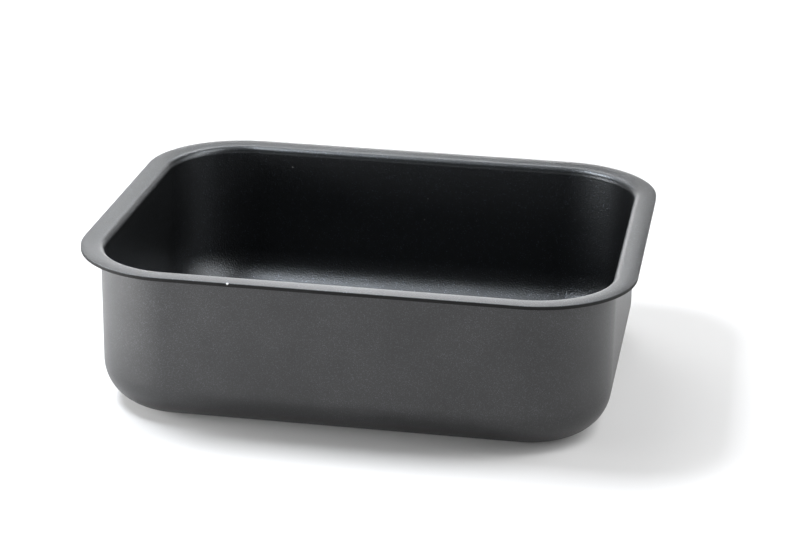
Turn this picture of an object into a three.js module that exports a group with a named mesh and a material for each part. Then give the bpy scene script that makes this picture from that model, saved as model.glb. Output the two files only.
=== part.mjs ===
// A half-size gastronorm pan: one deep-drawn aluminium sheet with a flat rim all round,
// a primer and a non-stick top coat on the food side, and a hard coat on the outside.
// Millimetres, +Z up. The origin is under the middle of the floor, on the surface the pan stands on.

import * as THREE from "three";

// Overall size of the finished pan, over the rim.
const LENGTH = 325;
const WIDTH = 265;
const HEIGHT = 96;

// Thickness of each layer, from the food side to the underside.
const TOP_COAT = 0.04;
const PRIMER = 0.02;
const SHEET = 2.2;
const EXTERIOR_COAT = 0.05;

// Shape of the food side, which every layer below it follows.
const RIM_FLAT = 8.2; // from the edge of the rim to the bend
const RIM_BEND = 5.7; // radius of the bend from the rim into the wall
const WALL_DRAFT = THREE.MathUtils.degToRad(0.3); // lean of the wall, narrower at the floor
const FLOOR_BEND = 23; // radius of the bend from the wall into the floor
const FLOOR_CORNER = 24; // corner radius of the flat floor, seen from above

// Facets in each round stretch.
const CORNER_STEPS = 8;
const RIM_BEND_STEPS = 4;
const FLOOR_BEND_STEPS = 6;

// Depth of each face below the food side.
const UNDER_TOP_COAT = TOP_COAT;
const UNDER_PRIMER = UNDER_TOP_COAT + PRIMER;
const UNDER_SHEET = UNDER_PRIMER + SHEET;
const UNDERSIDE = UNDER_SHEET + EXTERIOR_COAT;

// Centres of the two bends in a section through the wall: x is the inset from the edge of the rim.
const RIM_CENTRE = new THREE.Vector2(RIM_FLAT, HEIGHT - RIM_BEND);
const FLOOR_CENTRE_Z = UNDERSIDE + FLOOR_BEND;
const WALL_RUN = (RIM_CENTRE.y - FLOOR_CENTRE_Z) * Math.tan(WALL_DRAFT)
  + (RIM_BEND + FLOOR_BEND) / Math.cos(WALL_DRAFT);
const FLOOR_CENTRE = new THREE.Vector2(RIM_CENTRE.x + WALL_RUN, FLOOR_CENTRE_Z);
const RIM_CORNER = FLOOR_CORNER + FLOOR_CENTRE.x; // corner radius of the rim's edge, seen from above

// Finishes.
const ALUMINIUM = new THREE.MeshStandardMaterial({ color: 0xc4c6c8, roughness: 0.4, metalness: 1 });
const PRIMER_FILM = new THREE.MeshStandardMaterial({ color: 0x1c1b1a, roughness: 0.8, metalness: 0 });
const NONSTICK_FILM = new THREE.MeshStandardMaterial({ color: 0x2b2d30, roughness: 0.42, metalness: 0.1 });
const EXTERIOR_FILM = new THREE.MeshStandardMaterial({ color: 0x4a4b4d, roughness: 0.5, metalness: 0.1 });

// Points along an arc in the section, from one angle to another.
function arc(centre, radius, from, to, steps) {
  const clockwise = to < from;
  const curve = new THREE.EllipseCurve(centre.x, centre.y, radius, radius, from, to, clockwise);
  return curve.getPoints(steps);
}

// Section of one face of the sheet, from the flat of the floor out to the flat of the rim.
// Both bends keep their centres, so every face stays parallel to the food side.
function faceSection(depth) {
  const floorBend = arc(FLOOR_CENTRE, FLOOR_BEND + depth, Math.PI * 1.5, Math.PI + WALL_DRAFT, FLOOR_BEND_STEPS);
  const rimBend = arc(RIM_CENTRE, RIM_BEND - depth, WALL_DRAFT, Math.PI / 2, RIM_BEND_STEPS);
  return [...floorBend, ...rimBend];
}

// A face that runs out along the rim to an edge at the given inset.
function faceToEdge(depth, edgeInset) {
  return [...faceSection(depth), new THREE.Vector2(edgeInset, HEIGHT - depth)];
}

// One turn round the pan at a point of the section: a rectangle with round corners.
function turn(point) {
  const radius = RIM_CORNER - point.x;
  const reachX = LENGTH / 2 - RIM_CORNER;
  const reachY = WIDTH / 2 - RIM_CORNER;
  const corners = [[reachX, reachY], [-reachX, reachY], [-reachX, -reachY], [reachX, -reachY]];
  return corners.flatMap(([x, y], quarter) => {
    const from = (quarter * Math.PI) / 2;
    const corner = arc(new THREE.Vector2(x, y), radius, from, from + Math.PI / 2, CORNER_STEPS);
    return corner.map((p) => new THREE.Vector3(p.x, p.y, point.y));
  });
}

// Triangles of the flat floor of a face, fanned out inside its first turn.
function floorTriangles(first, pointsPerTurn, facesUp) {
  const triangles = [];
  for (let i = 1; i < pointsPerTurn - 1; i++) {
    const [b, c] = facesUp ? [i, i + 1] : [i + 1, i];
    triangles.push(first, first + b, first + c);
  }
  return triangles;
}

// Triangles of one band, between a turn and another one that lies further along the surface.
// The two sides of a joint between layers get the same triangles, so they lie on each other exactly.
function bandTriangles(from, to, pointsPerTurn, facesUp) {
  const triangles = [];
  const add = (a, b, c) => triangles.push(...(facesUp ? [a, b, c] : [a, c, b]));
  for (let i = 0; i < pointsPerTurn; i++) {
    const next = (i + 1) % pointsPerTurn;
    add(from + i, to + i, to + next);
    add(from + i, to + next, from + next);
  }
  return triangles;
}

// Triangles of the bands of a face, from its first turn out to its last.
function faceTriangles(turnCount, pointsPerTurn, first, facesUp) {
  const triangles = [];
  for (let turnIndex = 1; turnIndex < turnCount; turnIndex++) {
    const outer = first + turnIndex * pointsPerTurn;
    triangles.push(...bandTriangles(outer - pointsPerTurn, outer, pointsPerTurn, facesUp));
  }
  return triangles;
}

// A closed layer between an upper and a lower section, both from the inside out to the edge.
// With a floor it is closed across its first turns, and without one it ends there in a ring.
function layer(name, material, upperSection, lowerSection, hasFloor = true) {
  const turns = [...upperSection, ...lowerSection].map(turn);
  const pointsPerTurn = turns[0].length;
  const lowerFirst = upperSection.length * pointsPerTurn;
  const upperEdge = lowerFirst - pointsPerTurn;
  const lowerEdge = (turns.length - 1) * pointsPerTurn;
  const floor = [...floorTriangles(0, pointsPerTurn, true), ...floorTriangles(lowerFirst, pointsPerTurn, false)];
  const innerRing = bandTriangles(0, lowerFirst, pointsPerTurn, false);

  const geometry = new THREE.BufferGeometry().setFromPoints(turns.flat());
  geometry.setIndex([
    ...faceTriangles(upperSection.length, pointsPerTurn, 0, true),
    ...faceTriangles(lowerSection.length, pointsPerTurn, lowerFirst, false),
    ...bandTriangles(upperEdge, lowerEdge, pointsPerTurn, true),
    ...(hasFloor ? floor : innerRing),
  ]);
  geometry.computeVertexNormals();

  const mesh = new THREE.Mesh(geometry, material);
  mesh.name = name;
  return mesh;
}

// The drawn sheet. Its trimmed edge lies under the exterior coat.
function panShell() {
  return layer("pan_shell", ALUMINIUM,
    faceToEdge(UNDER_PRIMER, EXTERIOR_COAT), faceToEdge(UNDER_SHEET, EXTERIOR_COAT));
}

// The bond coat between the bare sheet and the non-stick top coat.
function primerCoat() {
  return layer("primer_coat", PRIMER_FILM,
    faceToEdge(UNDER_TOP_COAT, EXTERIOR_COAT), faceToEdge(UNDER_PRIMER, EXTERIOR_COAT));
}

// The food side: floor, walls and the top of the rim out to its edge.
function nonstickTopCoat() {
  return layer("nonstick_top_coat", NONSTICK_FILM, faceToEdge(0, 0), faceToEdge(UNDER_TOP_COAT, 0));
}

// The outside of the walls and rim, which wraps round the trimmed edge and ends under the top coat.
function exteriorCoat() {
  const lapZ = HEIGHT - UNDER_TOP_COAT;
  return layer("exterior_coat", EXTERIOR_FILM,
    [...faceToEdge(UNDER_SHEET, EXTERIOR_COAT), new THREE.Vector2(EXTERIOR_COAT, lapZ)],
    [...faceToEdge(UNDERSIDE, 0), new THREE.Vector2(0, lapZ)],
    false);
}

// The flat base that the pan stands on, up to where the floor bend starts.
function baseCoat() {
  return layer("base_coat", EXTERIOR_FILM,
    faceSection(UNDER_SHEET).slice(0, 1), faceSection(UNDERSIDE).slice(0, 1));
}

const pan = new THREE.Group();
pan.add(panShell(), primerCoat(), nonstickTopCoat(), exteriorCoat(), baseCoat());

export default pan;
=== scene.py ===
"""Looks of a half-size gastronorm pan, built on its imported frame.

The pan is one drawn sheet with a film on each side. Every layer has the same section, offset through
the wall, and that section is swept round the rim, so the layers fit each other as on the real pan.
Metres, +Z up. The origin is under the middle of the floor, on the surface that the pan stands on.
"""

import logging
import math
from abc import ABC, abstractmethod
from dataclasses import dataclass
from enum import Enum
from functools import cache
from typing import ClassVar, Union

import bpy
from mathutils import Matrix, Vector


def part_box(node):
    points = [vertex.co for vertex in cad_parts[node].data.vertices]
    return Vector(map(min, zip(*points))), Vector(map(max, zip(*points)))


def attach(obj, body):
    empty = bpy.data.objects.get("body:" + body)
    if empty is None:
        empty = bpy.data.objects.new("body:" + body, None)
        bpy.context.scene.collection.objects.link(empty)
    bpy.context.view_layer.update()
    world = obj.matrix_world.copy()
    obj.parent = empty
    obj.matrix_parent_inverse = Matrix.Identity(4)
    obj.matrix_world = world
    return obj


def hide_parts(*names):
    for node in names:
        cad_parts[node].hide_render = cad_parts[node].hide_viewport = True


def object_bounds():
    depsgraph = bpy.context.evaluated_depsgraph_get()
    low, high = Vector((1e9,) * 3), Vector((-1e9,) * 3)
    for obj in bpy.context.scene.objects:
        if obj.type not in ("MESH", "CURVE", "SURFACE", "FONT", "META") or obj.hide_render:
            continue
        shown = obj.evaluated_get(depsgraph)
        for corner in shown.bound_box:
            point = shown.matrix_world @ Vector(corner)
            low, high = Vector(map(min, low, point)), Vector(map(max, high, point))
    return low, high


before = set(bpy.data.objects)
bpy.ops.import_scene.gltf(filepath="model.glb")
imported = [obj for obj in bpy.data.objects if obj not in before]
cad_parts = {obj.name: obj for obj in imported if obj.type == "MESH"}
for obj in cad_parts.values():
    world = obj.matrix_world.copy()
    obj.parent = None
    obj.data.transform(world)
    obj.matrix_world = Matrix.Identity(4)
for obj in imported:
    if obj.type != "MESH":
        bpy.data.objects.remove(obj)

MM = 0.001
CAD_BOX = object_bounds()
BODY = "root"
WHITE = (1.0, 1.0, 1.0, 1.0)

LOG = logging.getLogger("gastronorm_pan")

Colour = tuple[float, float, float, float]
Place = tuple[float, float, float]
Value = Union[float, int, bool, tuple, bpy.types.NodeSocket]


class Slot(Enum):
    """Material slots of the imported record."""

    SHEET = "aluminium_sheet"
    PRIMER = "primer"
    NONSTICK = "nonstick_film"
    EXTERIOR = "exterior_film"


class Side(Enum):
    """The two faces of a layer, as the inputs of the sweep name them."""

    UPPER = "Upper"
    LOWER = "Lower"


class Ramp(Enum):
    """How a ramp leaves its low end and comes to its high end."""

    EVEN = "LINEAR"
    SOFT = "SMOOTHSTEP"


class Blend(Enum):
    """How one colour is laid over another."""

    COVER = "MIX"
    MULTIPLY = "MULTIPLY"


class NodeBuilder:
    """Adds nodes to one tree and links them as values are given."""

    # A Mix node has its colour sockets behind those for numbers and vectors.
    MIX_FIRST: ClassVar[int] = 6
    MIX_SECOND: ClassVar[int] = 7
    MIX_RESULT: ClassVar[int] = 2

    def __init__(self, tree: bpy.types.NodeTree) -> None:
        """Starts with the tree's own nodes removed.

        Args:
            tree: A geometry or shader node tree.
        """
        self.tree = tree
        self.tree.nodes.clear()

    def add(
        self, kind: str, inputs: dict[Union[str, int], Value] | None = None, **settings: object
    ) -> bpy.types.Node:
        """Adds a node, sets its properties and feeds its inputs.

        Args:
            kind: The node's type name.
            inputs: A plain value or an output socket for each input, by name or place.
            settings: Properties of the node.

        Returns:
            The new node.
        """
        node = self.tree.nodes.new(kind)
        for name, value in settings.items():
            setattr(node, name, value)
        for key, value in (inputs or {}).items():
            self.feed(node.inputs[key], value)
        return node

    def feed(self, socket: bpy.types.NodeSocket, value: Value) -> None:
        """Links an output to a socket, or sets the socket's own value.

        Args:
            socket: The input to feed.
            value: An output socket, or a plain value.
        """
        if isinstance(value, bpy.types.NodeSocket):
            self.tree.links.new(value, socket)
        else:
            socket.default_value = value

    def math(self, operation: str, *values: Value) -> bpy.types.NodeSocket:
        """Adds a Math node.

        Args:
            operation: The Math node's operation.
            values: One to three operands.

        Returns:
            The result.
        """
        return self.add("ShaderNodeMath", dict(enumerate(values)), operation=operation).outputs[0]

    def rest(self, share: Value) -> bpy.types.NodeSocket:
        """Takes a share from one."""
        return self.math("SUBTRACT", 1.0, share)

    def height(self, place: bpy.types.NodeSocket) -> bpy.types.NodeSocket:
        """Takes the height out of a place."""
        return self.add("ShaderNodeSeparateXYZ", {0: place}).outputs["Z"]

    def ramp(
        self, value: Value, start: float, end: float,
        low: float = 0.0, high: float = 1.0, kind: Ramp = Ramp.EVEN,
    ) -> bpy.types.NodeSocket:
        """Adds a ramp that stays level before its start and after its end.

        Args:
            value: What the ramp follows.
            start: The value at which it starts.
            end: The value at which it ends.
            low: The result at its start.
            high: The result at its end.
            kind: Its course in between.

        Returns:
            The result.
        """
        return self.add("ShaderNodeMapRange", {
            "Value": value, "From Min": start, "From Max": end, "To Min": low, "To Max": high,
        }, interpolation_type=kind.value).outputs[0]

    def blend(
        self, share: Value, first: Value, second: Value, kind: Blend = Blend.COVER
    ) -> bpy.types.NodeSocket:
        """Lays one colour over another.

        Args:
            share: How much of the second colour shows.
            first: The colour below.
            second: The colour on top.
            kind: How the second colour is laid on.

        Returns:
            The colour that results.
        """
        mix = self.add("ShaderNodeMix", {
            "Factor": share, self.MIX_FIRST: first, self.MIX_SECOND: second,
        }, data_type="RGBA", blend_type=kind.value)
        return mix.outputs[self.MIX_RESULT]


@dataclass(frozen=True)
class PanShape:
    """Sizes that all layers share. Insets are measured inwards from the edge of the rim."""

    length: float
    width: float
    height: float
    top_coat: float
    primer: float
    sheet: float
    exterior_coat: float
    rim_reach: float = 13.9 * MM  # inset of the wall at its top
    rim_bend: float = 4.5 * MM  # radius of the bend from the rim into the wall
    rim_droop: float = math.radians(4.0)  # slope from the rim's crown out to its edge
    rim_dish: float = math.radians(8.0)  # slope from the rim's crown in to the wall
    crown_inset: float = 5.0 * MM  # where the two slopes meet
    crown_round: float = 44.0 * MM  # radius of the crown between them
    wall_draft: float = math.radians(0.3)  # lean of the wall, narrower at the floor
    floor_bend: float = 23.0 * MM  # radius of the bend from the wall into the floor
    floor_corner: float = 24.0 * MM  # corner radius of the flat floor, seen from above
    edge_round: float = 0.25 * MM  # radius on both sides of the trimmed edge

    @classmethod
    def from_frame(cls) -> "PanShape":
        """Reads the overall size and the thickness of each layer from the CAD nodes.

        Returns:
            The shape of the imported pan.
        """
        low, high = CAD_BOX
        primer_low, primer_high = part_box("primer_coat")
        sheet_low, sheet_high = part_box("pan_shell")
        base_low, base_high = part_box("base_coat")
        return cls(
            length=high[0] - low[0],
            width=high[1] - low[1],
            height=high[2] - low[2],
            top_coat=high[2] - primer_high.z,
            primer=primer_high.z - sheet_high.z,
            sheet=primer_low.z - sheet_low.z,
            exterior_coat=base_high.z - base_low.z,
        )

    @property
    def food_side_coats(self) -> float:
        """Thickness of the two coats on the food side."""
        return self.top_coat + self.primer

    @property
    def under_sheet(self) -> float:
        """Depth of the sheet's underside below the food side."""
        return self.food_side_coats + self.sheet

    @property
    def thickness(self) -> float:
        """Thickness of the sheet with all its coats."""
        return self.under_sheet + self.exterior_coat

    @property
    def crown_height(self) -> float:
        """Works out where the rim's two slopes would meet if its crown weren't round.

        Returns:
            The height at which they meet, so that the round crown tops out at the full height.
        """
        half_turn = math.tan((self.rim_droop + self.rim_dish) / 2)
        rise = math.sin(self.rim_droop) * half_turn - (1 - math.cos(self.rim_droop))
        return self.height + self.crown_round * rise

    @property
    def edge_height(self) -> float:
        """Height of the food side at the trimmed edge, a little lower than the crown."""
        return self.crown_height - self.crown_inset * math.tan(self.rim_droop)

    @property
    def lap(self) -> float:
        """Height at which the coats of the two sides meet on the trimmed edge."""
        return self.edge_height - self.edge_round


@dataclass(frozen=True)
class LayerSection:
    """Where a layer lies in the wall, and how its two faces end on the trimmed edge of the rim.

    Depths are measured from the food side. Edges are insets, laps are heights and rounds are radii.
    """

    upper_depth: float
    lower_depth: float
    upper_edge: float
    lower_edge: float
    upper_lap: float
    lower_lap: float
    upper_round: float
    lower_round: float


@dataclass(frozen=True)
class SectionCorner:
    """One corner of a section inside the sweep's tree, and the arc that rounds it."""

    inset: Value
    height: Value
    radius: Value = 0.0
    points: Value = 1


class SweptLayerTree:
    """Geometry Nodes tree that sweeps a layer's section round the rim and closes its floor."""

    SIZES: ClassVar[tuple[str, ...]] = (
        "Length", "Width", "Height", "Thickness", "Rim Reach", "Rim Bend", "Rim Droop", "Rim Dish",
        "Crown Inset", "Crown Height", "Crown Round", "Wall Draft", "Floor Bend", "Floor Corner",
        "Upper Depth", "Lower Depth", "Upper Edge", "Lower Edge", "Upper Lap", "Lower Lap",
        "Upper Round", "Lower Round",
    )
    COUNTS: ClassVar[tuple[str, ...]] = (
        "Corner Points", "Crown Points", "Rim Bend Points", "Floor Bend Points", "Edge Points",
    )
    FLOOR_MARGIN: ClassVar[float] = 2.0 * MM  # how far the sweep runs on over the flat floor
    WELD: ClassVar[float] = 0.002 * MM
    FACES_AT_CLOSED_EDGE: ClassVar[float] = 2.0

    def __init__(self) -> None:
        """Builds the tree with its named inputs."""
        self.tree = bpy.data.node_groups.new("Swept pan layer", "GeometryNodeTree")
        interface = self.tree.interface
        interface.new_socket("Geometry", in_out="INPUT", socket_type="NodeSocketGeometry")
        for name in self.SIZES:
            interface.new_socket(name, in_out="INPUT", socket_type="NodeSocketFloat")
        for name in self.COUNTS:
            interface.new_socket(name, in_out="INPUT", socket_type="NodeSocketInt")
        interface.new_socket("Material", in_out="INPUT", socket_type="NodeSocketMaterial")
        interface.new_socket("Geometry", in_out="OUTPUT", socket_type="NodeSocketGeometry")
        self.nodes = NodeBuilder(self.tree)
        self.given = self.nodes.add("NodeGroupInput").outputs
        self._wire()

    def identifier(self, name: str) -> str:
        """Finds the identifier of a named input, which a modifier sets it by."""
        items = self.tree.interface.items_tree
        return next(item.identifier for item in items if item.name == name and item.in_out == "INPUT")

    def _floor_inset(self) -> bpy.types.NodeSocket:
        """Works out the inset at which the floor bend meets the flat floor.

        Returns:
            The inset, which is the same for every layer.
        """
        n, size = self.nodes, self.given
        bends = n.math("ADD", size["Rim Bend"], size["Floor Bend"])
        straight = n.math("SUBTRACT", n.math("SUBTRACT", size["Height"], size["Thickness"]), bends)
        lean = n.math("MULTIPLY", straight, n.math("TANGENT", size["Wall Draft"]))
        reach = n.math("DIVIDE", size["Floor Bend"], n.math("COSINE", size["Wall Draft"]))
        return n.math("ADD", size["Rim Reach"], n.math("ADD", lean, reach))

    def _face(self, side: Side, floor_end: bpy.types.NodeSocket) -> list[SectionCorner]:
        """Works out one face of the section, where its lines would meet without their bends.

        Args:
            side: Which face of the layer it is.
            floor_end: Inset at which the face ends on the flat floor.

        Returns:
            The face's corners, from the floor out to the trimmed edge of the rim.
        """
        n, size = self.nodes, self.given
        depth, edge = size[f"{side.value} Depth"], size[f"{side.value} Edge"]
        lean = n.math("TANGENT", size["Wall Draft"])
        dish = n.math("TANGENT", size["Rim Dish"])
        crown_height = n.math("SUBTRACT", size["Crown Height"], depth)
        wall_top = n.math("SUBTRACT", size["Height"], size["Rim Bend"])
        wall_shift = n.math("DIVIDE", depth, n.math("COSINE", size["Wall Draft"]))
        wall = n.math("SUBTRACT", size["Rim Reach"], wall_shift)

        def wall_inset(height: bpy.types.NodeSocket) -> bpy.types.NodeSocket:
            """Inset of the wall line at a height."""
            return n.math("MULTIPLY_ADD", n.math("SUBTRACT", wall_top, height), lean, wall)

        def dish_height(inset: bpy.types.NodeSocket) -> bpy.types.NodeSocket:
            """Height of the rim's inner slope at an inset."""
            run = n.math("SUBTRACT", inset, size["Crown Inset"])
            return n.math("SUBTRACT", crown_height, n.math("MULTIPLY", run, dish))

        head = wall_inset(dish_height(wall))
        floor = n.math("SUBTRACT", size["Thickness"], depth)
        edge_run = n.math("SUBTRACT", size["Crown Inset"], edge)
        edge_drop = n.math("MULTIPLY", edge_run, n.math("TANGENT", size["Rim Droop"]))
        edge_height = n.math("SUBTRACT", crown_height, edge_drop)
        floor_bend = n.math("ADD", size["Floor Bend"], depth)
        rim_bend = n.math("SUBTRACT", size["Rim Bend"], depth)
        crown_round = n.math("SUBTRACT", size["Crown Round"], depth)
        return [
            SectionCorner(floor_end, floor),
            SectionCorner(wall_inset(floor), floor, floor_bend, size["Floor Bend Points"]),
            SectionCorner(head, dish_height(head), rim_bend, size["Rim Bend Points"]),
            SectionCorner(size["Crown Inset"], crown_height, crown_round, size["Crown Points"]),
            SectionCorner(edge, edge_height, size[f"{side.value} Round"], size["Edge Points"]),
            SectionCorner(edge, size[f"{side.value} Lap"]),
        ]

    def _by_corner(self, kind: str, values: list[Value]) -> bpy.types.NodeSocket:
        """Picks the value that belongs to each corner of the section.

        Args:
            kind: The values' data type.
            values: One value for each corner, in their order.

        Returns:
            The picked value.
        """
        n = self.nodes
        switch = n.add("GeometryNodeIndexSwitch", data_type=kind)
        while len(switch.index_switch_items) < len(values):
            switch.index_switch_items.new()
        n.feed(switch.inputs["Index"], n.add("GeometryNodeInputIndex").outputs[0])
        for place, value in enumerate(values, start=1):
            n.feed(switch.inputs[place], value)
        return switch.outputs[0]

    def _section(self, floor_end: bpy.types.NodeSocket) -> bpy.types.NodeSocket:
        """Draws the section from the upper floor round the rim's edge to the lower floor.

        Args:
            floor_end: Inset at which the section ends on the flat floor.

        Returns:
            The section as a curve: its x runs outwards and its y down, as the sweep takes them.
        """
        n = self.nodes
        upper, lower = (self._face(side, floor_end) for side in (Side.UPPER, Side.LOWER))
        corners = upper + lower[::-1]
        points = [
            n.add("ShaderNodeCombineXYZ", {
                "X": n.math("MULTIPLY", corner.inset, -1.0),
                "Y": n.math("MULTIPLY", corner.height, -1.0),
            }).outputs[0]
            for corner in corners
        ]
        line = n.add("GeometryNodeMeshLine", {"Count": len(corners)})
        placed = n.add("GeometryNodeSetPosition", {
            "Geometry": line.outputs[0],
            "Position": self._by_corner("VECTOR", points),
        })
        outline = n.add("GeometryNodeMeshToCurve", {"Mesh": placed.outputs[0]})
        rounded = n.add("GeometryNodeFilletCurve", {
            "Curve": outline.outputs[0],
            "Radius": self._by_corner("FLOAT", [corner.radius for corner in corners]),
            "Count": self._by_corner("INT", [corner.points for corner in corners]),
        }, mode="POLY")
        return rounded.outputs[0]

    def _floor_face(self, swept: bpy.types.NodeSocket, side: Side) -> bpy.types.NodeSocket:
        """Fills the open loop that the sweep leaves round the flat floor.

        Args:
            swept: The swept mesh.
            side: Which face of the layer it is.

        Returns:
            The floor's face at its height, pointing away from the layer.
        """
        n, size = self.nodes, self.given
        upper = side is Side.UPPER
        both_depths = n.math("ADD", size["Upper Depth"], size["Lower Depth"])
        middle = n.math("SUBTRACT", size["Thickness"], n.math("MULTIPLY", both_depths, 0.5))
        height = n.height(n.add("GeometryNodeInputPosition").outputs[0])
        on_side = n.math("GREATER_THAN" if upper else "LESS_THAN", height, middle)
        faces_at_edge = n.add("GeometryNodeInputMeshEdgeNeighbors").outputs[0]
        is_open = n.math("LESS_THAN", faces_at_edge, self.FACES_AT_CLOSED_EDGE)
        loop = n.add("GeometryNodeMeshToCurve", {
            "Mesh": swept,
            "Selection": n.math("MULTIPLY", on_side, is_open),
        })
        face = n.add("GeometryNodeFillCurve", {"Curve": loop.outputs[0]}, mode="NGONS").outputs[0]
        if not upper:
            face = n.add("GeometryNodeFlipFaces", {"Mesh": face}).outputs[0]
        rise = n.math("SUBTRACT", size["Thickness"], size[f"{side.value} Depth"])
        return n.add("GeometryNodeSetPosition", {
            "Geometry": face,
            "Offset": n.add("ShaderNodeCombineXYZ", {"Z": rise}).outputs[0],
        }).outputs[0]

    def _wire(self) -> None:
        """Links the whole tree, from the rim's outline to the finished layer."""
        n, size = self.nodes, self.given
        floor_inset = self._floor_inset()
        rim_outline = n.add("GeometryNodeCurvePrimitiveQuadrilateral", {
            "Width": size["Length"],
            "Height": size["Width"],
        })
        path = n.add("GeometryNodeFilletCurve", {
            "Curve": rim_outline.outputs[0],
            "Radius": n.math("ADD", size["Floor Corner"], floor_inset),
            "Count": size["Corner Points"],
        }, mode="POLY")
        level_path = n.add("GeometryNodeSetCurveNormal", {"Curve": path.outputs[0]}, mode="Z_UP")
        swept = n.add("GeometryNodeCurveToMesh", {
            "Curve": level_path.outputs[0],
            "Profile Curve": self._section(n.math("ADD", floor_inset, self.FLOOR_MARGIN)),
        }).outputs[0]
        joined = n.add("GeometryNodeJoinGeometry")
        for part in (self._floor_face(swept, Side.LOWER), self._floor_face(swept, Side.UPPER), swept):
            n.feed(joined.inputs[0], part)
        welded = n.add("GeometryNodeMergeByDistance", {
            "Geometry": joined.outputs[0],
            "Distance": self.WELD,
        })
        smooth = n.add("GeometryNodeSetShadeSmooth", {"Geometry": welded.outputs[0]})
        realized = n.add("GeometryNodeRealizeInstances", {0: smooth.outputs[0]})
        dressed = n.add("GeometryNodeSetMaterial", {
            "Geometry": realized.outputs[0],
            "Material": size["Material"],
        })
        n.add("NodeGroupOutput", {0: dressed.outputs[0]})


class FilmEffects:
    """Shader groups that more than one finish uses, each built once."""

    @staticmethod
    def _start(
        name: str, inputs: tuple[str, ...], outputs: tuple[str, ...]
    ) -> tuple[NodeBuilder, bpy.types.Node, bpy.types.Node]:
        """Starts a group that reads a place and some numbers, and gives numbers.

        Args:
            name: The group's name.
            inputs: Names of the numbers it reads.
            outputs: Names of the numbers it gives.

        Returns:
            A builder for the group, and its input and output nodes.
        """
        tree = bpy.data.node_groups.new(name, "ShaderNodeTree")
        tree.interface.new_socket("Vector", in_out="INPUT", socket_type="NodeSocketVector")
        for label in inputs:
            tree.interface.new_socket(label, in_out="INPUT", socket_type="NodeSocketFloat")
        for label in outputs:
            tree.interface.new_socket(label, in_out="OUTPUT", socket_type="NodeSocketFloat")
        builder = NodeBuilder(tree)
        return builder, builder.add("NodeGroupInput"), builder.add("NodeGroupOutput")

    @staticmethod
    def _cells(
        n: NodeBuilder, place: bpy.types.NodeSocket, size: bpy.types.NodeSocket
    ) -> tuple[bpy.types.NodeSocket, bpy.types.NodeSocket, bpy.types.NodeSocket]:
        """Adds scattered cells.

        Args:
            n: The group to add to.
            place: Where the surface is.
            size: Spacing of the cells.

        Returns:
            The distance to the cell's middle in spacings, and two random numbers of the cell.
        """
        cells = n.add("ShaderNodeTexVoronoi", {
            "Vector": place, "Scale": n.math("DIVIDE", 1.0, size), "Randomness": 1.0,
        })
        chance = n.add("ShaderNodeSeparateColor", {0: cells.outputs["Color"]})
        return cells.outputs["Distance"], chance.outputs[0], chance.outputs[1]

    @staticmethod
    @cache
    def sprayed_grain() -> bpy.types.NodeTree:
        """Builds a fine spray texture with mica flakes in it.

        Returns:
            A group with the outputs Flake, Tone and Height.
        """
        n, given, result = FilmEffects._start(
            "Sprayed grain", ("Grain Size", "Flake Size", "Flake Share"), ("Flake", "Tone", "Height"))
        size = given.outputs
        grain = n.add("ShaderNodeTexNoise", {
            "Vector": size["Vector"], "Scale": n.math("DIVIDE", 1.0, size["Grain Size"]),
            "Detail": 2.0, "Roughness": 0.55,
        })
        _, chance, tone = FilmEffects._cells(n, size["Vector"], size["Flake Size"])
        n.feed(result.inputs["Flake"], n.math("LESS_THAN", chance, size["Flake Share"]))
        n.feed(result.inputs["Tone"], tone)
        n.feed(result.inputs["Height"], grain.outputs[0])
        return n.tree

    @staticmethod
    @cache
    def mottle() -> bpy.types.NodeTree:
        """Builds the soft clouding of a sprayed film, as a factor about one.

        Returns:
            A group with the output Factor.
        """
        n, given, result = FilmEffects._start("Spray mottle", ("Size", "Amount"), ("Factor",))
        size = given.outputs
        clouds = n.add("ShaderNodeTexNoise", {
            "Vector": size["Vector"], "Scale": n.math("DIVIDE", 1.0, size["Size"]), "Detail": 3.0,
        })
        swing = n.math("MULTIPLY", n.math("SUBTRACT", clouds.outputs[0], 0.5), 2.0)
        n.feed(result.inputs["Factor"], n.math("MULTIPLY_ADD", swing, size["Amount"], 1.0))
        return n.tree

    @staticmethod
    @cache
    def specks() -> bpy.types.NodeTree:
        """Builds sparse small spots, such as dust or nicks.

        Returns:
            A group with the output Mask.
        """
        n, given, result = FilmEffects._start("Sparse specks", ("Spacing", "Share", "Size"), ("Mask",))
        size = given.outputs
        away, chance, bigness = FilmEffects._cells(n, size["Vector"], size["Spacing"])
        chosen = n.math("LESS_THAN", chance, size["Share"])
        reach = n.math("MULTIPLY", n.math("DIVIDE", size["Size"], size["Spacing"]), bigness)
        n.feed(result.inputs["Mask"], n.math("MULTIPLY", chosen, n.math("LESS_THAN", away, reach)))
        return n.tree


@dataclass(frozen=True)
class CutEdge:
    """Where a film wraps round the cut edge of the sheet, the near-black tone that paints shade on it
    there, and how rough it is there.
    """

    above: float
    fade: float
    # painted shade: this dark tone stands in for the edge's shadow and its dark reflection
    tone: Colour
    roughness: float


@dataclass(frozen=True)
class Chip:
    """A spot where a film is chipped or nicked, or where a grain of dust lies on it."""

    place: Place
    radius: float
    tone: float


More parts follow.
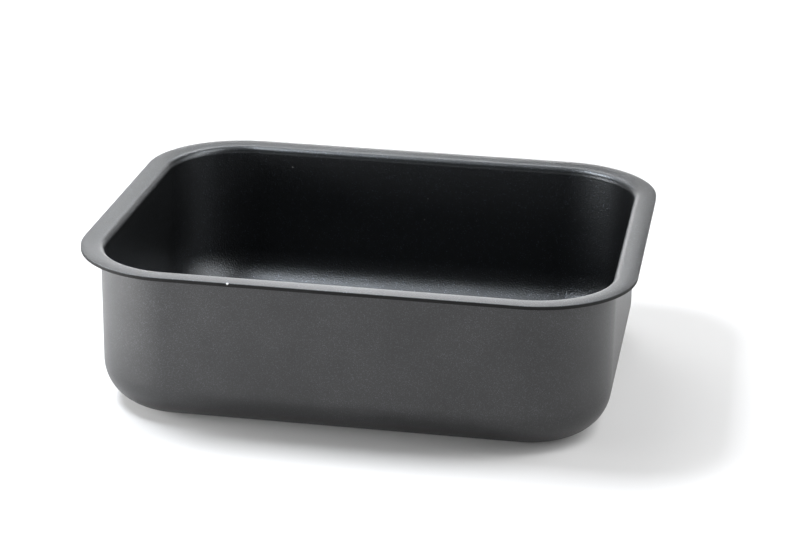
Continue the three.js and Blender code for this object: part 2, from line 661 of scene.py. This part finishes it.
@dataclass(frozen=True)
class FilmFinish:
    """A sprayed film: dark binder, mica flakes, spray grain and a few specks of dust."""

    name: str
    binder: Colour
    flake: Colour
    flake_share: float
    roughness: float
    roughness_swing: float
    grain_height: float
    mottle_amount: float
    speck_share: float
    ior: float
    tint: Colour = WHITE
    floor_grain: float = 1.0  # how many times as strong the grain is on the floor as at the rim
    rim_dulling: float = 0.0  # how much rougher the film is at the rim than on the floor
    wall_fade: tuple[float, float] = (30.0 * MM, 80.0 * MM)  # heights between which both change
    grain_size: float = 0.6 * MM
    flake_size: float = 0.25 * MM
    mottle_size: float = 22.0 * MM
    speck_spacing: float = 22.0 * MM
    speck_size: float = 0.7 * MM
    speck: Colour = (0.32, 0.32, 0.33, 1.0)
    # painted shade on the trimmed edge, with a rougher film there
    cut_edge: CutEdge | None = None
    chips: tuple[Chip, ...] = ()

    def material(self) -> bpy.types.Material:
        """Builds the film's material on Object coordinates.

        Returns:
            The material.
        """
        material = bpy.data.materials.new(self.name)
        material.use_nodes = True
        shader = FilmShader(self, material.node_tree)
        shader.sprinkle_dust()
        if self.cut_edge:
            shader.shade_and_dull_edge(self.cut_edge)
        for chip in self.chips:
            shader.nick(chip)
        shader.finish()
        return material


class FilmShader:
    """Nodes of one film's material. The film is sprayed first, and what marks it comes after."""

    def __init__(self, film: FilmFinish, tree: bpy.types.NodeTree) -> None:
        """Sprays the clean film.

        Args:
            film: The film's own values.
            tree: The material's tree.
        """
        self.film = film
        self.nodes = n = NodeBuilder(tree)
        self.place = n.add("ShaderNodeTexCoord").outputs["Object"]
        self.height = n.height(self.place)
        self.up_wall = n.ramp(self.height, *film.wall_fade)
        self.grain = self._effect(FilmEffects.sprayed_grain(), {
            "Grain Size": film.grain_size,
            "Flake Size": film.flake_size,
            "Flake Share": film.flake_share,
        })
        clouds = self._effect(FilmEffects.mottle(), {
            "Size": film.mottle_size,
            "Amount": film.mottle_amount,
        })
        flaked = n.blend(self.grain["Flake"], film.binder, film.flake)
        self.colour = n.blend(1.0, flaked, clouds["Factor"], Blend.MULTIPLY)
        self.metal = self.grain["Flake"]
        swing = n.math("SUBTRACT", self.grain["Tone"], 0.5)
        even = n.math("MULTIPLY_ADD", swing, film.roughness_swing, film.roughness)
        self.roughness = n.math("MULTIPLY_ADD", self.up_wall, film.rim_dulling, even)

    def _effect(
        self, group: bpy.types.NodeTree, values: dict[str, float]
    ) -> dict[str, bpy.types.NodeSocket]:
        """Places a shared effect with this film's own values.

        Args:
            group: The effect's tree.
            values: Numbers for its inputs, by name.

        Returns:
            The effect's outputs, by name.
        """
        node = self.nodes.add("ShaderNodeGroup", node_tree=group)
        for label, value in {"Vector": self.place, **values}.items():
            self.nodes.feed(node.inputs[label], value)
        return dict(node.outputs.items())

    def _cover(self, mask: bpy.types.NodeSocket, tone: Colour) -> None:
        """Covers part of the film with a plain tone that has no flakes in it.

        Args:
            mask: Where the film is covered.
            tone: The colour there.
        """
        self.colour = self.nodes.blend(mask, self.colour, tone)
        self.metal = self.nodes.math("MULTIPLY", self.metal, self.nodes.rest(mask))

    def sprinkle_dust(self) -> None:
        """Lays sparse specks of dust on the film."""
        film = self.film
        specks = self._effect(FilmEffects.specks(), {
            "Spacing": film.speck_spacing, "Share": film.speck_share, "Size": film.speck_size,
        })
        self._cover(specks["Mask"], film.speck)

    def shade_and_dull_edge(self, edge: CutEdge) -> None:
        """Paints shade on the film where it wraps round the cut edge of the sheet, as a near-black tone
        without flakes, and makes the film rougher there.

        Args:
            edge: The edge's place and looks.
        """
        n = self.nodes
        on_edge = n.ramp(self.height, edge.above, edge.above + edge.fade)
        # painted shade: the edge's near-black tone stands in for its shadow and dark reflection
        self._cover(on_edge, edge.tone)
        duller = n.math("MULTIPLY", on_edge, n.math("SUBTRACT", edge.roughness, self.roughness))
        self.roughness = n.math("ADD", self.roughness, duller)

    def nick(self, chip: Chip) -> None:
        """Puts one pale spot on the film.

        Args:
            chip: The spot's place and looks.
        """
        n = self.nodes
        away = n.add("ShaderNodeVectorMath", {0: self.place, 1: chip.place}, operation="DISTANCE")
        bare = n.math("LESS_THAN", away.outputs["Value"], chip.radius)
        self._cover(bare, (chip.tone, chip.tone, chip.tone, 1.0))

    def finish(self) -> None:
        """Links the film's values to its shader."""
        n, film = self.nodes, self.film
        strength = n.math("MULTIPLY_ADD", self.up_wall, 1.0 - film.floor_grain, film.floor_grain)
        bump = n.add("ShaderNodeBump", {
            "Height": n.math("MULTIPLY", self.grain["Height"], strength),
            "Strength": 1.0,
            "Distance": film.grain_height,
        })
        shader = n.add("ShaderNodeBsdfPrincipled", {
            "Base Color": self.colour,
            "Metallic": self.metal,
            "Roughness": self.roughness,
            "IOR": film.ior,
            "Specular Tint": film.tint,
            "Normal": bump.outputs[0],
        })
        n.add("ShaderNodeOutputMaterial", {"Surface": shader.outputs[0]})


# A chip on the front edge of the rim that shows pale metal, and a few faint nicks on the food side.
RIM_CHIP = Chip(place=(-0.0620, -0.1325, 0.0957), radius=0.7 * MM, tone=0.85)
FAINT_NICKS = (
    Chip(place=(0.1472, 0.0824, 0.0848), radius=0.6 * MM, tone=0.40),
    Chip(place=(0.1490, -0.0659, 0.0928), radius=0.8 * MM, tone=0.30),
    Chip(place=(-0.0785, 0.1186, 0.0835), radius=0.5 * MM, tone=0.25),
    Chip(place=(0.0119, 0.1185, 0.0684), radius=0.4 * MM, tone=0.20),
    Chip(place=(0.0098, 0.1184, 0.0538), radius=0.4 * MM, tone=0.25),
    Chip(place=(-0.1487, 0.0341, 0.0921), radius=0.6 * MM, tone=0.15),
)
NONSTICK_FINISH = FilmFinish(
    name="Nonstick film", binder=(0.0010, 0.0011, 0.0014, 1.0), flake=(0.28, 0.33, 0.40, 1.0),
    flake_share=0.010, roughness=0.34, roughness_swing=0.08, grain_size=1.0 * MM, grain_height=0.18 * MM,
    floor_grain=2.0, rim_dulling=0.02, mottle_amount=0.15, speck_share=0.06, ior=1.84,
    tint=(0.90, 0.95, 1.0, 1.0), chips=(RIM_CHIP, *FAINT_NICKS),
)
EXTERIOR_FINISH = FilmFinish(
    name="Exterior film", binder=(0.0345, 0.0345, 0.0355, 1.0), flake=(0.115, 0.119, 0.125, 1.0),
    flake_share=0.08, roughness=0.42, roughness_swing=0.10, grain_height=0.05 * MM,
    mottle_amount=0.36, mottle_size=35.0 * MM, speck_share=0.02, ior=1.48, chips=(RIM_CHIP,),
    # The trimmed edge's near-black tone is painted shade; its higher roughness is the film's own.
    cut_edge=CutEdge(above=93.60 * MM, fade=0.2 * MM, tone=(0.004, 0.004, 0.004, 1.0), roughness=0.85),
)
PRIMER_FINISH = FilmFinish(
    name="Primer film", binder=(0.012, 0.011, 0.010, 1.0), flake=(0.05, 0.05, 0.05, 1.0),
    flake_share=0.02, roughness=0.75, roughness_swing=0.05, grain_height=0.01 * MM, mottle_amount=0.10,
    speck_share=0.0, ior=1.5,
)
# Bare metal is all flake, so the whole face is metallic.
SHEET_FINISH = FilmFinish(
    name="Drawn aluminium", binder=(0.55, 0.56, 0.57, 1.0), flake=(0.62, 0.63, 0.64, 1.0),
    flake_share=1.0, roughness=0.38, roughness_swing=0.10, grain_height=0.01 * MM, mottle_amount=0.06,
    speck_share=0.0, ior=1.5,
)


@dataclass(frozen=True)
class SweepDetail:
    """How many points the sweep puts into each round stretch."""

    corner: int = 40
    crown: int = 10
    rim_bend: int = 12
    floor_bend: int = 24
    edge: int = 5


def plain_mesh(holder: bpy.types.Object) -> bpy.types.Mesh:
    """Evaluates an object with its modifiers.

    Args:
        holder: The object to evaluate.

    Returns:
        The result as a mesh of its own.
    """
    graph = bpy.context.evaluated_depsgraph_get()
    return bpy.data.meshes.new_from_object(holder.evaluated_get(graph), depsgraph=graph)


@dataclass
class PanLayer(ABC):
    """One layer of the pan: a sub-assembly of one piece, made by the shared sweep."""

    shape: PanShape
    detail: SweepDetail = SweepDetail()
    sharp_angle: float = math.radians(40)

    name: ClassVar[str]
    cad_nodes: ClassVar[tuple[str, ...]]
    slot: ClassVar[Slot]
    finish: ClassVar[FilmFinish]

    @abstractmethod
    def section(self) -> LayerSection:
        """Gives the layer's place in the wall."""

    def dress(self) -> bpy.types.Material:
        """Makes the layer's finish."""
        return self.finish.material()

    def _sweep_sizes(self) -> dict[str, float]:
        """Collects the sizes and counts that the sweep needs for this layer.

        Returns:
            A number for each of the tree's inputs, by name.
        """
        shape, section, detail = self.shape, self.section(), self.detail
        return {
            "Length": shape.length, "Width": shape.width, "Height": shape.height,
            "Thickness": shape.thickness,
            "Rim Reach": shape.rim_reach, "Rim Bend": shape.rim_bend,
            "Rim Droop": shape.rim_droop, "Rim Dish": shape.rim_dish,
            "Crown Inset": shape.crown_inset, "Crown Height": shape.crown_height,
            "Crown Round": shape.crown_round, "Wall Draft": shape.wall_draft,
            "Floor Bend": shape.floor_bend, "Floor Corner": shape.floor_corner,
            "Upper Depth": section.upper_depth, "Lower Depth": section.lower_depth,
            "Upper Edge": section.upper_edge, "Lower Edge": section.lower_edge,
            "Upper Lap": section.upper_lap, "Lower Lap": section.lower_lap,
            "Upper Round": section.upper_round, "Lower Round": section.lower_round,
            "Corner Points": detail.corner, "Crown Points": detail.crown,
            "Rim Bend Points": detail.rim_bend, "Floor Bend Points": detail.floor_bend,
            "Edge Points": detail.edge,
        }

    def build(self, sweep: SweptLayerTree) -> bpy.types.Object:
        """Makes the layer as a plain mesh at the origin.

        Args:
            sweep: The shared tree.

        Returns:
            The finished piece, with its finish on it.
        """
        holder = bpy.data.objects.new(self.name, bpy.data.meshes.new(self.name))
        bpy.context.scene.collection.objects.link(holder)
        modifier = holder.modifiers.new("Sweep", "NODES")
        modifier.node_group = sweep.tree
        inputs = {**self._sweep_sizes(), "Material": self.dress()}
        for name, value in inputs.items():
            modifier[sweep.identifier(name)] = value
        holder.data = plain_mesh(holder)
        holder.modifiers.remove(modifier)
        self._settle_normals(holder)
        return holder

    def _settle_normals(self, piece: bpy.types.Object) -> None:
        """Keeps the flats flat beside their bends, and the film's cut ends sharp.

        Args:
            piece: The swept layer.
        """
        piece.data.set_sharp_from_angle(angle=self.sharp_angle)
        weighted = piece.modifiers.new("Flats stay flat", "WEIGHTED_NORMAL")
        weighted.keep_sharp = True
        piece.data = plain_mesh(piece)
        piece.modifiers.remove(weighted)
        piece.data.name = self.name

    def place(self, sweep: SweptLayerTree) -> bpy.types.Object:
        """Builds the layer and puts it on the frame.

        Args:
            sweep: The shared tree.

        Returns:
            The piece, riding on the pan's body in place of its CAD nodes.
        """
        piece = self.build(sweep)
        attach(piece, BODY)
        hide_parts(*self.cad_nodes)
        return piece


class DrawnSheet(PanLayer):
    """The pressing itself, hidden between its coats."""

    name = "drawn_sheet"
    cad_nodes = ("pan_shell",)
    slot = Slot.SHEET
    finish = SHEET_FINISH

    def section(self) -> LayerSection:
        """Puts the sheet between the coats of the two sides.

        Returns:
            The sheet's place, closed in the middle of the trimmed edge.
        """
        shape = self.shape
        middle = shape.edge_height - shape.thickness / 2
        return LayerSection(
            upper_depth=shape.food_side_coats, lower_depth=shape.under_sheet,
            upper_edge=shape.food_side_coats, lower_edge=shape.food_side_coats,
            upper_lap=middle, lower_lap=middle,
            upper_round=shape.edge_round - shape.food_side_coats,
            lower_round=shape.edge_round - shape.exterior_coat,
        )


class PrimerCoat(PanLayer):
    """The bond coat under the non-stick film."""

    name = "primer_film"
    cad_nodes = ("primer_coat",)
    slot = Slot.PRIMER
    finish = PRIMER_FINISH

    def section(self) -> LayerSection:
        """Puts the primer on the food side of the sheet.

        Returns:
            The primer's place, down to the lap on the rim's edge.
        """
        shape = self.shape
        return LayerSection(
            upper_depth=shape.top_coat, lower_depth=shape.food_side_coats,
            upper_edge=shape.top_coat, lower_edge=shape.food_side_coats,
            upper_lap=shape.lap, lower_lap=shape.lap,
            upper_round=shape.edge_round - shape.top_coat,
            lower_round=shape.edge_round - shape.food_side_coats,
        )


class NonstickCoat(PanLayer):
    """The film on the food side, over the floor, the walls and the top of the rim."""

    name = "nonstick_film"
    cad_nodes = ("nonstick_top_coat",)
    slot = Slot.NONSTICK
    finish = NONSTICK_FINISH

    def section(self) -> LayerSection:
        """Puts the film over the primer.

        Returns:
            The film's place, down to the lap on the rim's edge.
        """
        shape = self.shape
        return LayerSection(
            upper_depth=0.0, lower_depth=shape.top_coat,
            upper_edge=0.0, lower_edge=shape.top_coat,
            upper_lap=shape.lap, lower_lap=shape.lap,
            upper_round=shape.edge_round, lower_round=shape.edge_round - shape.top_coat,
        )


class ExteriorCoat(PanLayer):
    """The film outside, over the base, the walls, the rim's underside and the trimmed edge."""

    name = "exterior_film"
    cad_nodes = ("exterior_coat", "base_coat")
    slot = Slot.EXTERIOR
    finish = EXTERIOR_FINISH

    def section(self) -> LayerSection:
        """Puts the film under the sheet.

        Returns:
            The film's place, up to the lap on the rim's edge.
        """
        shape = self.shape
        return LayerSection(
            upper_depth=shape.under_sheet, lower_depth=shape.thickness,
            upper_edge=shape.food_side_coats, lower_edge=0.0,
            upper_lap=shape.lap, lower_lap=shape.lap,
            upper_round=shape.edge_round - shape.exterior_coat, lower_round=shape.edge_round,
        )


@dataclass(frozen=True)
class PhotoCamera:
    """The view of the photograph: where the camera stands, and its lens on a 36 mm wide sensor.

    The fit counts from the middle of a pixel and the lens from its corner, so the lens is shifted by
    half a pixel.
    """

    IMAGE_WIDTH: ClassVar[int] = 800
    HALF_PIXEL: ClassVar[float] = 0.5 / IMAGE_WIDTH

    azimuth: float = math.radians(9.342)
    elevation: float = math.radians(20.27)
    roll: float = math.radians(1.054)
    distance: float = 1.51349
    target: Place = (0.007181, 0.041537, 0.04793)
    lens: float = 108.59
    sensor: float = 36.0
    shift: tuple[float, float] = (-HALF_PIXEL, HALF_PIXEL)

    def build(self) -> bpy.types.Object:
        """Places the camera and makes it the scene's own.

        Returns:
            The camera.
        """
        back = Vector((
            math.sin(self.azimuth) * math.cos(self.elevation),
            -math.cos(self.azimuth) * math.cos(self.elevation),
            math.sin(self.elevation),
        ))
        right = Vector((math.cos(self.azimuth), math.sin(self.azimuth), 0.0))
        up = back.cross(right)
        tilt = Matrix.Rotation(self.roll, 3, back)
        turned = Matrix((tilt @ right, tilt @ up, back)).transposed()
        stand = Vector(self.target) + back * self.distance
        data = bpy.data.cameras.new("photo_camera")
        data.lens = self.lens
        data.sensor_width = self.sensor
        data.sensor_fit = "HORIZONTAL"
        data.shift_x, data.shift_y = self.shift
        camera = bpy.data.objects.new("photo_camera", data)
        camera.matrix_world = Matrix.Translation(stand) @ turned.to_4x4()
        bpy.context.scene.collection.objects.link(camera)
        bpy.context.scene.camera = camera
        return camera


NEUTRAL_LIGHT = (1.0, 1.0, 1.0)
COOL_LIGHT = (0.96, 0.99, 1.03)


@dataclass(frozen=True)
class SoftBox:
    """A rectangular studio light that faces a point, as bright at any size."""

    name: str
    location: Place
    aim: Place
    size: tuple[float, float]
    radiance: float
    tint: tuple[float, float, float] = NEUTRAL_LIGHT

    def build(self) -> bpy.types.Object:
        """Places the light.

        Returns:
            The light, which the camera doesn't see.
        """
        width, height = self.size
        data = bpy.data.lights.new(self.name, "AREA")
        data.shape = "RECTANGLE"
        data.size, data.size_y = self.size
        data.color = self.tint
        data.energy = self.radiance * math.pi * width * height
        light = bpy.data.objects.new(self.name, data)
        location = Vector(self.location)
        turn = (Vector(self.aim) - location).to_track_quat("-Z", "Y")
        light.matrix_world = Matrix.LocRotScale(location, turn, None)
        light.visible_camera = False
        bpy.context.scene.collection.objects.link(light)
        return light


@dataclass(frozen=True)
class Studio:
    """A round white sweep, a dark room above it and soft boxes behind, above and beside the pan."""

    sweep_radius: float = 3.5
    sweep_height: float = 0.6
    sweep_bend: float = 0.4
    sweep_sides: int = 96
    sweep_bend_steps: int = 8
    floor_gap: float = 0.1 * MM  # how far the paper lies below the pan
    paper: Colour = (0.86, 0.86, 0.86, 1.0)
    lift_near: float = 0.05  # glow of the paper round the pan
    lift_far: float = 1.0  # glow of the paper away from it
    lift_from: float = 0.4  # distance from the pan's middle at which the glow starts to grow
    lift_to: float = 0.9  # distance at which it is full
    surround: float = 0.02
    boxes: tuple[SoftBox, ...] = (
        SoftBox("key_box", (-0.6, 0.0, 1.1), (-0.6, 0.0, 0.0), (0.4, 0.4), 26.5, COOL_LIGHT),
        SoftBox("top_right_box", (0.8, 0.0, 1.1), (0.8, 0.0, 0.0), (0.8, 0.4), 9.0),
        SoftBox("top_back_box", (-0.2, 0.4, 1.1), (-0.2, 0.4, 0.0), (1.2, 0.4), 0.9, COOL_LIGHT),
        SoftBox("left_box", (-0.55, -0.15, 0.13), (0.0, -0.15, 0.13), (0.3, 0.18), 14.0),
        SoftBox("left_front_box", (-0.55, -0.45, 0.11), (0.0, -0.45, 0.11), (0.3, 0.14), 16.0),
        SoftBox("right_box", (1.0, 0.1, 0.5), (0.0, 0.1, 0.5), (0.8, 0.6), 3.3),
        SoftBox("back_box", (-0.025, 0.6, 0.65), (-0.025, 0.0, 0.65), (0.25, 0.3), 7.8),
        SoftBox("back_left_box", (-0.3, 0.6, 0.65), (-0.3, 0.0, 0.65), (0.3, 0.3), 4.3),
        SoftBox("back_low_box", (-0.2, 0.35, 0.32), (-0.2, 0.0, 0.32), (0.3, 0.2), 1.0),
        SoftBox("far_box", (-0.15, 1.5, 0.2), (-0.15, 0.0, 0.2), (0.5, 0.3), 5.2),
        SoftBox("far_left_box", (-0.7, 1.5, 0.2), (-0.7, 0.0, 0.2), (0.6, 0.3), 3.8),
        SoftBox("far_right_box", (0.4, 1.5, 0.2), (0.4, 0.0, 0.2), (0.6, 0.3), 0.9),
    )

    @staticmethod
    def _seen(n: NodeBuilder) -> bpy.types.NodeSocket:
        """Tells the rays that show a background from those that light the object.

        Args:
            n: The tree to add to.

        Returns:
            One for camera, glossy and transmission rays.
        """
        path = n.add("ShaderNodeLightPath").outputs
        seen = n.math("MAXIMUM", path["Is Camera Ray"], path["Is Glossy Ray"])
        return n.math("MAXIMUM", seen, path["Is Transmission Ray"])

    def _sweep_mesh(self) -> bpy.types.Mesh:
        """Turns the sweep's section round the pan: a flat floor that bends up into a low wall.

        Returns:
            The mesh, facing the pan.
        """
        rings: list[tuple[float, float]] = []
        for step in range(self.sweep_bend_steps + 1):
            angle = step / self.sweep_bend_steps * math.pi / 2
            inset = self.sweep_bend * (1 - math.sin(angle))
            rings.append((self.sweep_radius - inset, self.sweep_bend * (1 - math.cos(angle))))
        rings.append((self.sweep_radius, self.sweep_height))
        sides = self.sweep_sides
        turns = [step / sides * math.tau for step in range(sides)]
        points = [
            (radius * math.cos(turn), radius * math.sin(turn), height - self.floor_gap)
            for radius, height in rings
            for turn in turns
        ]
        faces: list[tuple[int, ...]] = [tuple(range(sides))]
        for first in range(0, len(points) - sides, sides):
            for side in range(sides):
                here, there = first + side, first + (side + 1) % sides
                faces.append((there, here, here + sides, there + sides))
        mesh = bpy.data.meshes.new("studio_sweep")
        mesh.from_pydata(points, [], faces)
        return mesh

    def _sweep_material(self) -> bpy.types.Material:
        """Makes matt paper that is white to the eye away from the pan, and keeps its shadow near it.

        Returns:
            The material.
        """
        material = bpy.data.materials.new("Studio paper")
        material.use_nodes = True
        n = NodeBuilder(material.node_tree)
        place = n.add("ShaderNodeTexCoord").outputs["Object"]
        on_floor = n.add("ShaderNodeVectorMath", {0: place, 1: (1.0, 1.0, 0.0)}, operation="MULTIPLY")
        away = n.add("ShaderNodeVectorMath", {0: on_floor.outputs[0]}, operation="LENGTH")
        lift = n.ramp(
            away.outputs["Value"], self.lift_from, self.lift_to,
            low=self.lift_near, high=self.lift_far, kind=Ramp.SOFT)
        paper = n.add("ShaderNodeBsdfDiffuse", {"Color": self.paper})
        glow = n.add("ShaderNodeEmission", {"Strength": n.math("MULTIPLY", self._seen(n), lift)})
        both = n.add("ShaderNodeAddShader", {0: paper.outputs[0], 1: glow.outputs[0]})
        n.add("ShaderNodeOutputMaterial", {"Surface": both.outputs[0]})
        return material

    def sweep(self) -> bpy.types.Object:
        """Makes the white sweep that the pan stands on.

        Returns:
            The sweep.
        """
        mesh = self._sweep_mesh()
        mesh.materials.append(self._sweep_material())
        sweep = bpy.data.objects.new("studio_sweep", mesh)
        bpy.context.scene.collection.objects.link(sweep)
        return sweep

    def world(self) -> bpy.types.World:
        """Makes the dim surround.

        Returns:
            The world.
        """
        world = bpy.data.worlds.new("Studio surround")
        world.use_nodes = True
        n = NodeBuilder(world.node_tree)
        background = n.add("ShaderNodeBackground", {"Color": WHITE, "Strength": self.surround})
        n.add("ShaderNodeOutputWorld", {"Surface": background.outputs[0]})
        bpy.context.scene.world = world
        return world

    def build(self) -> None:
        """Makes the whole studio."""
        self.sweep()
        self.world()
        for box in self.boxes:
            box.build()
        bpy.context.scene.view_settings.view_transform = "Standard"


def main() -> None:
    """Builds the pan's layers, the camera and the studio, in that order."""
    logging.basicConfig(level=logging.INFO, format="%(name)s: %(message)s")
    shape = PanShape.from_frame()
    sweep = SweptLayerTree()
    for layer in (DrawnSheet(shape), PrimerCoat(shape), NonstickCoat(shape), ExteriorCoat(shape)):
        piece = layer.place(sweep)
        LOG.info("%s: %d faces", piece.name, len(piece.data.polygons))
    PhotoCamera().build()
    Studio().build()


if __name__ == "__main__":
    main()
